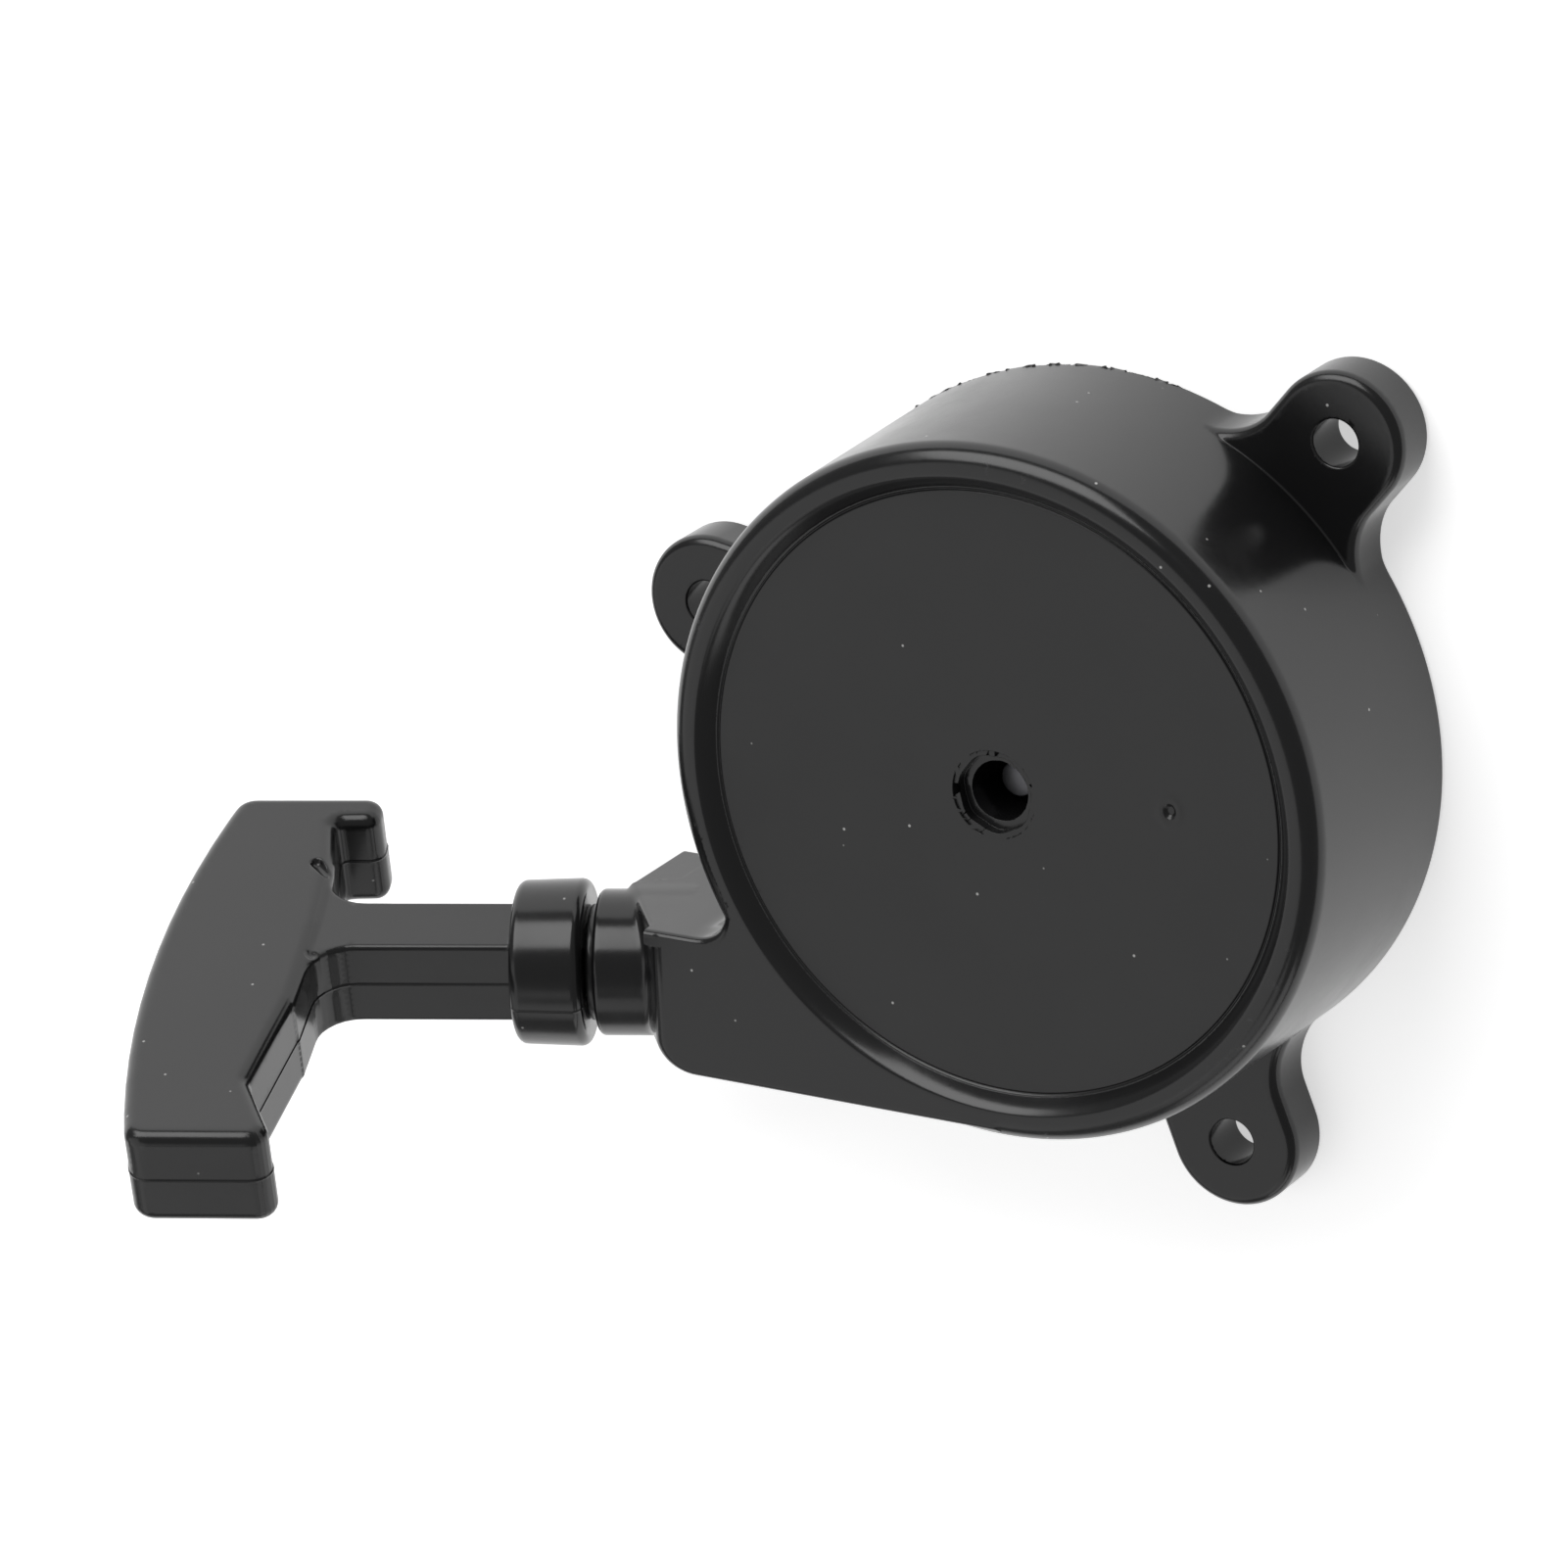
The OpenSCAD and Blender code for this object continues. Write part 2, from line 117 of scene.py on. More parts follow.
# Handle, in its own frame: x along the bar, y through it, z out along the rope
TWIST = -15
COLLAR_R = 11.6
COLLAR_Z = 1.4
COLLAR_LEN = 10.0
STEM_W = 10.5
STEM_T = 12.8
BAR_T = 14.8
BAR_EDGE = 1.9
BAR_SHORT = 29.0
BAR_LONG = 48.8
BAR_BACK_Z = 60.9
BAR_BACK_R = 160.0
BAR_APEX = 17.0
RECESS_R = 4.8
RECESS_Z = 47.0
ROPE_HOLE_R = 2.4
BUSH_POCKET_R = 5

# Directions: out along the rope, then the two across it, then those turned with the handle
tilt = math.radians(ROPE_ANGLE)
twist = math.radians(TWIST)
ROPE_OUT = np.array((-math.cos(tilt), 0, math.sin(tilt)))
ROPE_FRONT = np.array((math.sin(tilt), 0, math.cos(tilt)))
ROPE_SIDE = np.array((0, 1.0, 0))
GRIP_X = math.cos(twist) * ROPE_FRONT + math.sin(twist) * ROPE_SIDE
GRIP_Y = -math.sin(twist) * ROPE_FRONT + math.cos(twist) * ROPE_SIDE


# ---------------------------------------------------------------- solids as signed distances
def meet(a, b, r=0.0):
    """Intersection of two solids, its edge rounded to radius r, which may differ from point to point."""
    if np.ndim(r) == 0 and r <= 0:
        return np.maximum(a, b)
    outside = np.hypot(np.maximum(r + a, 0), np.maximum(r + b, 0))
    return np.minimum(-r, np.maximum(a, b)) + outside


def join(a, b, r=0.0):
    """Union of two solids, with a fillet of radius r."""
    return -meet(-a, -b, r)


def cut(a, b, r=0.0):
    """Solid a with solid b taken away, its lip rounded to radius r."""
    return meet(a, -b, r)


def smooth(t):
    """Soft step from 0 to 1 while t goes from 0 to 1."""
    t = np.clip(t, 0, 1)
    return t * t * (3 - 2 * t)


def bell(offset, width):
    """Smooth ridge of height 1 where the offset is 0."""
    return np.exp(-((offset / width) ** 2))


def outline(points, x, y):
    """Distance to a closed polygon in the plane, negative inside."""
    nearest = np.full(np.shape(x), 1e9)
    inside = np.zeros(np.shape(x), bool)
    for (ax, ay), (bx, by) in zip(points, points[1:] + points[:1]):
        ex, ey, px, py = bx - ax, by - ay, x - ax, y - ay
        t = np.clip((px * ex + py * ey) / (ex * ex + ey * ey), 0, 1)
        nearest = np.minimum(nearest, (px - ex * t) ** 2 + (py - ey * t) ** 2)
        if ay != by:
            inside ^= ((ay > y) != (by > y)) & (x < ex * (y - ay) / ey + ax)
    return np.sqrt(nearest) * np.where(inside, -1, 1)


def rounded(corners, steps=7):
    """Points of a closed outline whose corners [x, y, radius] are arcs."""
    made = []
    for i, (x, y, r) in enumerate(corners):
        here = np.array((x, y), float)
        if r <= 0:
            made.append(tuple(here))
            continue
        before = np.array(corners[i - 1][:2], float)
        after = np.array(corners[(i + 1) % len(corners)][:2], float)
        u = (before - here) / np.linalg.norm(before - here)
        w = (after - here) / np.linalg.norm(after - here)
        half = math.acos(np.clip(u @ w, -1, 1)) / 2
        centre = here + (u + w) / np.linalg.norm(u + w) * r / math.sin(half)
        start = here + u * r / math.tan(half) - centre
        end = here + w * r / math.tan(half) - centre
        turn = math.atan2(start[0] * end[1] - start[1] * end[0], start @ end)
        for k in range(steps + 1):
            s, q = math.sin(turn * k / steps), math.cos(turn * k / steps)
            made.append((centre[0] + start[0] * q - start[1] * s, centre[1] + start[0] * s + start[1] * q))
    return made


# ---------------------------------------------------------------- housing
def front_height(x, y, rho):
    """Height of the front: flat disc, fine groove, sloping flank, rim, and the gate mark."""
    flank = np.clip((rho - DISC_R - 0.25) / FLANK_W, 0, 1)
    height = DISC_Z + (CUP_H - DISC_Z) * np.sin(flank * math.pi / 2)
    height -= 0.24 * bell(rho - DISC_R + 0.15, 0.17)
    gate = np.hypot(x - GATE_X, (y - GATE_Y) * 0.85)
    height += 0.08 * bell(gate - 1.5, 0.5) - 0.45 * smooth((1.0 - gate) / 0.6)
    height -= 0.05 * bell(rho - 20, 9)
    return height


def with_ears(cup, side, x, y, z):
    """The cup and its three ears, which run into the wall with wide flares."""
    for angle in np.radians(EAR_ANGLES):
        out = x * math.cos(angle) + y * math.sin(angle)
        across = -x * math.sin(angle) + y * math.cos(angle)
        plan = np.where(out > EAR_AT, np.hypot(out - EAR_AT, across), np.abs(across)) - EAR_R
        plan = np.maximum(plan, 20 - out)
        ear = meet(join(plan, side + EAR_SINK, EAR_FLARE), z - EAR_H, EAR_EDGE)
        cup = join(cup, np.maximum(ear, 25 - out), CREASE)
    return cup


def with_horn(cup, side, x, y, z, neck):
    """The cup and its horn: a block with a tilted end wall, a low step in its upper wall, and the neck."""
    end = np.cos(math.radians(END_TILT)) * (END_WALL_X - x) + math.sin(math.radians(END_TILT)) * (z - CUP_H)
    end = meet(end, END_FOOT - x, 0.6)
    step = np.minimum(STEP_X - x, (STEP_Z - z) * 0.78 + (STEP_X - x) * 0.62)
    top = y - HORN_TOP_Y + STEP_DEPTH * smooth(step / 0.5)
    horn = meet(meet(HORN_LOW_Y - y, end, HORN_LOW_R), top, 0.8)
    horn = meet(np.maximum(horn, x), HORN_BACK_Z - z, 0.8)
    horn = join(meet(horn, z - CUP_H, HORN_EDGE), neck, 0.9)
    near_front = smooth((z - 30.5) / 3.5)
    corner = join(side + 0.2 + 2.0 * near_front, top, CORNER_R + 1.5 * near_front)
    corner = np.maximum(meet(corner, z - CUP_H, HORN_EDGE), HORN_BACK_Z - z)
    corner = np.maximum(corner, np.maximum(np.abs(x + 45) - 9, np.abs(y + 20) - 9))
    return join(join(cup, horn, CREASE), corner, 0.2)


def with_flash(body, rho, turn, z):
    """The body with a ragged line of mould flash on part of its back edge."""
    ragged = 0.8 + np.sin(turn * 23) + 0.8 * np.sin(turn * 57 + 1) + 0.6 * np.sin(turn * 97 + 2)
    patch = smooth((turn - 1.25) * 8) * smooth((2.4 - turn) * 5)
    flash = rho - BACK_R - 0.22 * np.clip(ragged, 0, 2.4) * patch
    sheet = np.abs(z - 0.3) - 0.25 + 0.3 * (1 - patch)
    return np.minimum(body, np.maximum(np.maximum(flash, 47.5 - rho), sheet))


def inner_room(rho, z):
    """The cavity of the cup, with the centre post left standing in it."""
    wall = rho - (CAVITY_BACK_R - (CAVITY_BACK_R - CAVITY_TOP_R) * z / CEILING_Z)
    post = np.maximum(rho - POST_R, POST_Z - z)
    return cut(meet(wall, z - CEILING_Z, 0.8), post, 0.4)


def centre_hole(rho, turn, z):
    """The stepped hole of the front disc, and below it the bore of the post."""
    hole = np.maximum(rho - FRONT_HOLE_R - 0.12 * np.sin(7 * turn), DISC_Z - FRONT_HOLE_DEPTH - z)
    hole = np.minimum(hole, np.maximum(rho - FRONT_STEP_R, DISC_Z - FRONT_STEP_DEPTH - z))
    hole = np.minimum(hole, np.maximum(rho - INNER_HOLE_R, INNER_HOLE_FOOT - z))
    return np.minimum(hole, np.maximum(rho - POST_BORE_R, z - POST_BORE_TOP))


def rope_way(x, y, z, along, off):
    """The slot that leads the rope from the reel to the neck, and the bore of the neck."""
    run = (-20 - x) / 38
    way = np.maximum(np.abs(y - ROPE_Y) - 4.6, np.maximum(z - 19.6 - 6.6 * run, 8.2 + 9.4 * run - z))
    way = np.maximum(way, np.maximum(x + 20, -59 - x))
    bore = np.maximum(off - NECK_BORE, np.maximum(-14 - along, along - 1))
    return np.minimum(way, bore)


def housing_distance(p):
    """Distance to the whole housing, in the row frame."""
    x, y, z = p[:, 0], p[:, 1], p[:, 2]
    rho, turn = np.hypot(x, y), np.arctan2(y, x)
    q = p - MOUTH
    along = q @ ROPE_OUT
    off = np.sqrt(np.maximum((q * q).sum(1) - along * along, 0))
    neck = np.maximum(meet(off - NECK_R, along, 0.8), -NECK_ROOT - along)
    side = rho - (BACK_R - (BACK_R - FRONT_R) * z / CUP_H)
    body = with_ears(meet(side, z - CUP_H, RIM_ROUND), side, x, y, z)
    body = with_horn(body, side, x, y, z, neck)
    body = meet(body, (z - front_height(x, y, rho)) * 0.6)
    body = with_flash(meet(body, -z, MOUTH_EDGE), rho, turn, z)
    body = cut(body, inner_room(rho, z), MOUTH_EDGE)
    body = cut(body, centre_hole(rho, turn, z), 0.12)
    for angle in np.radians(EAR_ANGLES):
        at = np.hypot(x - EAR_AT * math.cos(angle), y - EAR_AT * math.sin(angle))
        body = cut(body, np.maximum(at - EAR_HOLE_R, z - 12), 0.3)
    return cut(body, rope_way(x, y, z, along, off), 0.2)


# ---------------------------------------------------------------- handle
def bar_back(x):
    """Height of the curved back of the crossbar."""
    return BAR_BACK_Z - (x - BAR_APEX) ** 2 / (2 * BAR_BACK_R)


BAR_OUTLINE = rounded(
    [(0, 38.6, 0), (18, 39.6, 6), (36, 42.8, 2.2),
     (BAR_LONG, 37.3, 2.6), (BAR_LONG, bar_back(BAR_LONG), 3.2)]
    + [(x, bar_back(x), 0) for x in range(42, -25, -6)]
    + [(-BAR_SHORT, bar_back(-BAR_SHORT), 3.2), (-BAR_SHORT, 33.7, 2.4), (-23.4, 33.9, 2.0),
       (-23.2, 40.0, 1.2), (-12, 38.6, 2.0)]
)
STEM_OUTLINE = rounded(
    [(-STEM_W / 2, 6, 0), (STEM_W / 2, 6, 0), (STEM_W / 2, 38.6, 6), (18, 39.6, 0), (18, 43, 0),
     (-14, 43, 0), (-14, 38.8, 0), (-STEM_W / 2, 38.2, 5.5)]
)


def grip_distance(p):
    """Distance to the handle in its own frame, with its parting line and two small dents."""
    x, y, z = p[:, 0], p[:, 1], p[:, 2]
    rho = np.hypot(x, y)
    parting = 0.09 * bell(y, 0.13) + 0.1 * smooth(0.5 - y / 0.3)
    bar = meet(outline(BAR_OUTLINE, x, z) - parting, np.abs(y) - BAR_T / 2, BAR_EDGE)
    stem = meet(outline(STEM_OUTLINE, x, z) - parting, np.abs(y) - STEM_T / 2, 0.75)
    cone = COLLAR_R - 0.35 * (z - COLLAR_Z) / COLLAR_LEN
    collar = meet(rho - cone, np.abs(z - COLLAR_Z - COLLAR_LEN / 2) - COLLAR_LEN / 2, 1.3)
    collar -= 0.06 * bell(y, 0.13)
    body = join(join(bar, stem, 0.5), collar, 0.7)
    dent = np.sqrt((x - 7.2) ** 2 + (y - 6.9) ** 2 + (z - 38.6) ** 2) - 0.8
    t = np.clip(((x + 13) * 2 - (z - 41) * 1.6) / 6.56, 0, 1)
    groove = np.sqrt((x + 13 - 2 * t) ** 2 + (y - 7.3) ** 2 + (z - 41 + 1.6 * t) ** 2) - 0.8
    body = cut(cut(body, dent, 0.4), groove, 0.4)
    body = cut(body, rho - ROPE_HOLE_R, 0.3)
    body = cut(body, np.maximum(rho - RECESS_R, RECESS_Z - z), 0.5)
    return cut(body, np.maximum(rho - BUSH_POCKET_R, z - COLLAR_Z - 2), 0.4)


def from_grip(p):
    """Points of the handle's frame, in the row frame."""
    return MOUTH + p[:, :1] * GRIP_X + p[:, 1:2] * GRIP_Y + p[:, 2:3] * ROPE_OUT


# ---------------------------------------------------------------- meshes from distances
def surface_net(distance, low, high, step):
    """Points and triangles round the zero surface of a distance, on a regular grid."""
    axes = [np.arange(a, b + step, step) for a, b in zip(low, high)]
    grid = np.stack(np.meshgrid(*axes, indexing="ij"), -1)
    shape = grid.shape[:3]
    value = np.concatenate([distance(chunk) for chunk in np.array_split(grid.reshape(-1, 3), 24)])
    value = value.reshape(shape)
    cells = tuple(n - 1 for n in shape)

    def shifted(array, offset):
        i, j, k = offset
        return array[i:cells[0] + i, j:cells[1] + j, k:cells[2] + k]

    total, count = np.zeros(cells + (3,)), np.zeros(cells)
    for axis in range(3):
        for near in ([0, 0], [0, 1], [1, 0], [1, 1]):
            start = near[:axis] + [0] + near[axis:]
            end = near[:axis] + [1] + near[axis:]
            v0, v1 = shifted(value, start), shifted(value, end)
            hit = (v0 < 0) != (v1 < 0)
            t = np.where(hit, v0 / np.where(hit, v0 - v1, 1), 0)[..., None]
            total += (shifted(grid, start) * (1 - t) + shifted(grid, end) * t) * hit[..., None]
            count += hit
    used = count > 0
    index = np.full(cells, -1)
    index[used] = np.arange(used.sum())
    faces = []
    for axis in range(3):
        v = np.moveaxis(value, axis, 0)
        idx = np.moveaxis(index, axis, 0)
        a, b = v[:-1, 1:-1, 1:-1] < 0, v[1:, 1:-1, 1:-1] < 0
        for hit, flip in ((a & ~b, False), (~a & b, True)):
            i, j, k = np.nonzero(hit)
            quad = np.stack([idx[i, j, k], idx[i, j + 1, k], idx[i, j + 1, k + 1], idx[i, j, k + 1]], 1)
            faces.append(quad[:, ::-1] if flip != (axis == 1) else quad)
    quads = np.concatenate(faces)
    return total[used] / count[used][:, None], np.concatenate([quads[:, [0, 1, 2]], quads[:, [0, 2, 3]]])


def gradient(distance, p, h=0.02):
    """Slope of the distance at each point."""
    slope = np.empty_like(p)
    for axis in range(3):
        shift = np.zeros(3)
        shift[axis] = h
        slope[:, axis] = (distance(p + shift) - distance(p - shift)) / (2 * h)
    return slope


def settle(distance, p, rounds=4, reach=0.5):
    """Points moved onto the zero surface, and the outward normals there."""
    p = p.copy()
    for _ in range(rounds):
        slope = gradient(distance, p)
        steepness = np.maximum((slope * slope).sum(1), 0.05)
        move = -(distance(p) / steepness)[:, None] * slope
        size = np.linalg.norm(move, axis=1)
        p += move * np.minimum(1, reach / np.maximum(size, 1e-9))[:, None]
    slope = gradient(distance, p)
    return p, slope / np.maximum(np.linalg.norm(slope, axis=1), 1e-9)[:, None]


def divided(triangles, middles):
    """Triangles divided at the new points on their edges; -1 stands for an edge that stays whole."""
    marked = middles >= 0
    count = marked.sum(1)
    t, m = triangles[count == 3], middles[count == 3]
    made = [triangles[count == 0]]
    made += [np.stack(c, 1) for c in ((t[:, 0], m[:, 0], m[:, 2]), (m[:, 0], t[:, 1], m[:, 1]),
                                      (m[:, 2], m[:, 1], t[:, 2]), (m[:, 0], m[:, 1], m[:, 2]))]
    for first in range(3):
        order = [(first + k) % 3 for k in range(3)]
        one = (count == 1) & marked[:, order[0]]
        t, m = triangles[one][:, order], middles[one][:, order]
        made += [np.stack(c, 1) for c in ((t[:, 0], m[:, 0], t[:, 2]), (m[:, 0], t[:, 1], t[:, 2]))]
        two = (count == 2) & ~marked[:, order[2]]
        t, m = triangles[two][:, order], middles[two][:, order]
        made += [np.stack(c, 1) for c in ((m[:, 0], t[:, 1], m[:, 1]), (t[:, 0], m[:, 0], m[:, 1]),
                                          (t[:, 0], m[:, 1], t[:, 2]))]
    return np.concatenate(made)


def refine(distance, points, triangles, longest, finest, rounds):
    """Splits long or strongly curved edges and puts the new points on the surface."""
    points, normals = settle(distance, points)
    for _ in range(rounds):
        edges = np.sort(triangles[:, [0, 1, 1, 2, 2, 0]].reshape(-1, 2), 1)
        edges, back = np.unique(edges, axis=0, return_inverse=True)
        a, b = points[edges[:, 0]], points[edges[:, 1]]
        length, middle = np.linalg.norm(a - b, axis=1), (a + b) / 2
        bend = (normals[edges[:, 0]] * normals[edges[:, 1]]).sum(1)
        split = (length > longest(middle)) | ((bend < 0.975) & (length > finest))
        if not split.any():
            break
        fresh, fresh_normals = settle(distance, middle[split], 3, 0.3)
        number = np.full(len(edges), -1)
        number[split] = len(points) + np.arange(split.sum())
        points, normals = np.concatenate([points, fresh]), np.concatenate([normals, fresh_normals])
        triangles = divided(triangles, number[back.reshape(-1, 3)])
    return points, triangles, normals


# ---------------------------------------------------------------- objects
def smooth_object(name, points, faces):
    """A smooth mesh object from points in millimetres of the row frame."""
    mesh = bpy.data.meshes.new(name)
    mesh.from_pydata((np.asarray(points) * MM).tolist(), [], faces)
    mesh.validate()
    mesh.shade_smooth()
    made = bpy.data.objects.new(name, mesh)
    bpy.context.scene.collection.objects.link(made)
    return made


def finish_piece(piece, body, slot, material, *nodes):
    """Gives a piece its material and its body, and hides the CAD nodes that it replaces; the slot argument
    is not used.
    """
    piece.data.materials.clear()
    piece.data.materials.append(material)
    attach(piece, body)
    if nodes:
        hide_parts(*nodes)


# ---------------------------------------------------------------- node helpers
def nodes_of(name):
    """A new material with its node tree and its shader."""
    material = bpy.data.materials.new(name)
    material.use_nodes = True
    tree = material.node_tree
    return material, tree, tree.nodes["Principled BSDF"]


def noise(tree, place, scale, detail, rough):
    """Noise value at a place."""
    node = tree.nodes.new("ShaderNodeTexNoise")
    node.inputs["Scale"].default_value = scale
    node.inputs["Detail"].default_value = detail
    node.inputs["Roughness"].default_value = rough
    tree.links.new(place, node.inputs["Vector"])
    return node.outputs["Fac"]


def remap(tree, value, low, high, to_low, to_high):
    """A value moved from one range to another, and kept inside it."""
    node = tree.nodes.new("ShaderNodeMapRange")
    for key, number in (("From Min", low), ("From Max", high), ("To Min", to_low), ("To Max", to_high)):
        node.inputs[key].default_value = number
    tree.links.new(value, node.inputs["Value"])
    return node.outputs["Result"]


def calc(tree, how, a, b=0.0):
    """Result of a sum on sockets or numbers."""
    node = tree.nodes.new("ShaderNodeMath")
    node.operation = how
    for slot, value in ((0, a), (1, b)):
        if isinstance(value, (int, float)):
            node.inputs[slot].default_value = value
        else:
            tree.links.new(value, node.inputs[slot])
    return node.outputs[0]


def mix_colour(tree, amount, a, b):
    """Colour a where the amount is 0, colour b where it is 1."""
    node = tree.nodes.new("ShaderNodeMix")
    node.data_type = "RGBA"
    tree.links.new(amount, node.inputs[0])
    for slot, value in ((6, a), (7, b)):
        if isinstance(value, tuple):
            node.inputs[slot].default_value = value + (1.0,)
        else:
            tree.links.new(value, node.inputs[slot])
    return node.outputs[2]


def bump(tree, height, distance, strength, before=None):
    """Normal bent by a height, on top of an earlier one."""
    node = tree.nodes.new("ShaderNodeBump")
    node.inputs["Strength"].default_value = strength
    node.inputs["Distance"].default_value = distance
    tree.links.new(height, node.inputs["Height"])
    if before is not None:
        tree.links.new(before, node.inputs["Normal"])
    return node.outputs["Normal"]


def specks(tree, place, scale, size, share):
    """Small round spots, on a share of the cells of a Voronoi pattern."""
    cells = tree.nodes.new("ShaderNodeTexVoronoi")
    cells.inputs["Scale"].default_value = scale
    tree.links.new(place, cells.inputs["Vector"])
    split = tree.nodes.new("ShaderNodeSeparateColor")
    tree.links.new(cells.outputs["Color"], split.inputs[0])
    near = remap(tree, cells.outputs["Distance"], size * 0.5, size, 1, 0)
    chosen = calc(tree, "LESS_THAN", split.outputs[0], share)
    return calc(tree, "MULTIPLY", near, chosen)


def turned_place(tree, place):
    """Distance from the reel axis, and height, in metres."""
    axes = tree.nodes.new("ShaderNodeSeparateXYZ")
    tree.links.new(place, axes.inputs[0])
    square = calc(tree, "ADD", calc(tree, "MULTIPLY", axes.outputs[0], axes.outputs[0]),
                  calc(tree, "MULTIPLY", axes.outputs[1], axes.outputs[1]))
    return calc(tree, "SQRT", square), axes.outputs[2]


# ---------------------------------------------------------------- materials
def disc_matt(tree, place):
    """Extra roughness of the front disc, which came from a less polished part of the mould."""
    rho, height = turned_place(tree, place)
    inside = calc(tree, "MULTIPLY", calc(tree, "LESS_THAN", rho, DISC_R * MM),
                  calc(tree, "GREATER_THAN", height, (DISC_Z - 0.5) * MM))
    return calc(tree, "MULTIPLY", inside, 0.12)


def rim_scuffs_and_highlight(tree, place):
    """Scuffs along the outer part of the rim, in short broken marks, paler in colour: partly painted
    highlight on the rim's outer rounding.
    """
    rho, height = turned_place(tree, place)
    high = remap(tree, height, 0.0338, 0.0352, 0, 1)
    inner, outer = remap(tree, rho, 0.0447, 0.0458, 0, 1), remap(tree, rho, 0.0468, 0.0478, 1, 0)
    band = calc(tree, "MULTIPLY", inner, outer)
    marks = remap(tree, noise(tree, place, 330, 5, 0.75), 0.60, 0.70, 0, 1)
    zones = remap(tree, noise(tree, place, 48, 2, 0.5), 0.50, 0.62, 0, 1)
    mask = calc(tree, "MULTIPLY", calc(tree, "MULTIPLY", band, high), calc(tree, "MULTIPLY", marks, zones))
    return calc(tree, "MULTIPLY", mask, 0.55)


def moulded(name, base, low_rough, high_rough, grain=0.000012, dust=0.8, scuff_highlight=None, matt=None):
    """Moulded plastic: fine grain, slow waviness, uneven gloss, dust specks and scuffed high places, whose
    paler colour is partly painted highlight.
    """
    material, tree, shader = nodes_of(name)
    place = tree.nodes.new("ShaderNodeTexCoord").outputs["Object"]
    patches = noise(tree, place, 55, 5, 0.6)
    fine = noise(tree, place, 900, 3, 0.6)
    rough = remap(tree, patches, 0.3, 0.7, low_rough, high_rough)
    colour = mix_colour(tree, patches, tuple(0.92 * c for c in base), tuple(1.08 * c for c in base))
    spots = specks(tree, place, 300, 0.075, 0.16)
    colour = mix_colour(tree, calc(tree, "MULTIPLY", spots, dust), colour, (0.5, 0.5, 0.49))
    rough = calc(tree, "ADD", rough, calc(tree, "MULTIPLY", fine, 0.05))
    if scuff_highlight is not None:
        mask = scuff_highlight(tree, place)
        # Paler colour on the scuff marks, partly painted highlight
        colour = mix_colour(tree, mask, colour, tuple(min(1, 9 * c) for c in base))
        rough = calc(tree, "ADD", rough, calc(tree, "MULTIPLY", mask, 0.22))
    if matt is not None:
        rough = calc(tree, "ADD", rough, matt(tree, place))
    tree.links.new(colour, shader.inputs["Base Color"])
    tree.links.new(rough, shader.inputs["Roughness"])
    normal = bump(tree, noise(tree, place, 42, 2, 0.4), 0.00012, 0.35)
    tree.links.new(bump(tree, fine, grain, 0.5, normal), shader.inputs["Normal"])
    return material


def metal(name, base, low_rough, high_rough, stretch=(1, 1, 1), tarnish=None):
    """Plated or ground steel: directional fine lines, blotchy gloss and a little tarnish."""
    material, tree, shader = nodes_of(name)
    place = tree.nodes.new("ShaderNodeTexCoord").outputs["Object"]
    mapping = tree.nodes.new("ShaderNodeMapping")
    mapping.inputs["Scale"].default_value = stretch
    tree.links.new(place, mapping.inputs["Vector"])
    lines = noise(tree, mapping.outputs[0], 1400, 4, 0.7)
    blots = noise(tree, place, 90, 4, 0.6)
    dark = tuple(0.72 * c for c in base) if tarnish is None else tarnish
    colour = mix_colour(tree, remap(tree, blots, 0.42, 0.72, 0, 0.75), base, dark)
    tree.links.new(colour, shader.inputs["Base Color"])
    rough = calc(tree, "ADD", remap(tree, blots, 0.3, 0.7, low_rough, high_rough),
                 calc(tree, "MULTIPLY", lines, 0.08))
    tree.links.new(rough, shader.inputs["Roughness"])
    shader.inputs["Metallic"].default_value = 1.0
    tree.links.new(bump(tree, lines, 0.000006, 0.6), shader.inputs["Normal"])
    return material


def braided(name, origin, along, side):
    """Braided cord: crossing diagonal strands computed from the place round and along the rope, with
    painted shade in the low places between them.
    """
    material, tree, shader = nodes_of(name)
    place = tree.nodes.new("ShaderNodeTexCoord").outputs["Object"]
    shift = tree.nodes.new("ShaderNodeVectorMath")
    shift.operation = "SUBTRACT"
    tree.links.new(place, shift.inputs[0])
    shift.inputs[1].default_value = tuple(float(v) * MM for v in origin)

    def measured(axis):
        node = tree.nodes.new("ShaderNodeVectorMath")
        node.operation = "DOT_PRODUCT"
        tree.links.new(shift.outputs[0], node.inputs[0])
        node.inputs[1].default_value = tuple(float(v) for v in axis)
        return node.outputs["Value"]

    turn = calc(tree, "ARCTAN2", measured(np.cross(along, side)), measured(side))
    length = calc(tree, "MULTIPLY", measured(along), 2 * math.pi / 0.0042)
    around = calc(tree, "MULTIPLY", turn, 4)
    one = calc(tree, "SINE", calc(tree, "ADD", around, length))
    two = calc(tree, "SINE", calc(tree, "SUBTRACT", around, length))
    weave = calc(tree, "ABSOLUTE", calc(tree, "MULTIPLY", one, two))
    fibre = noise(tree, place, 4000, 2, 0.7)
    height = calc(tree, "ADD", weave, calc(tree, "MULTIPLY", fibre, 0.4))
    # Colour from the height: painted shade in the low places between the strands, plus random tone from the
    # fibre noise
    colour = mix_colour(tree, remap(tree, height, 0.1, 0.9, 0, 1), (0.42, 0.42, 0.40), (0.80, 0.80, 0.77))
    tree.links.new(colour, shader.inputs["Base Color"])
    shader.inputs["Roughness"].default_value = 0.62
    shader.inputs["Sheen Weight"].default_value = 0.25
    tree.links.new(bump(tree, height, 0.00022, 0.9), shader.inputs["Normal"])
    return material


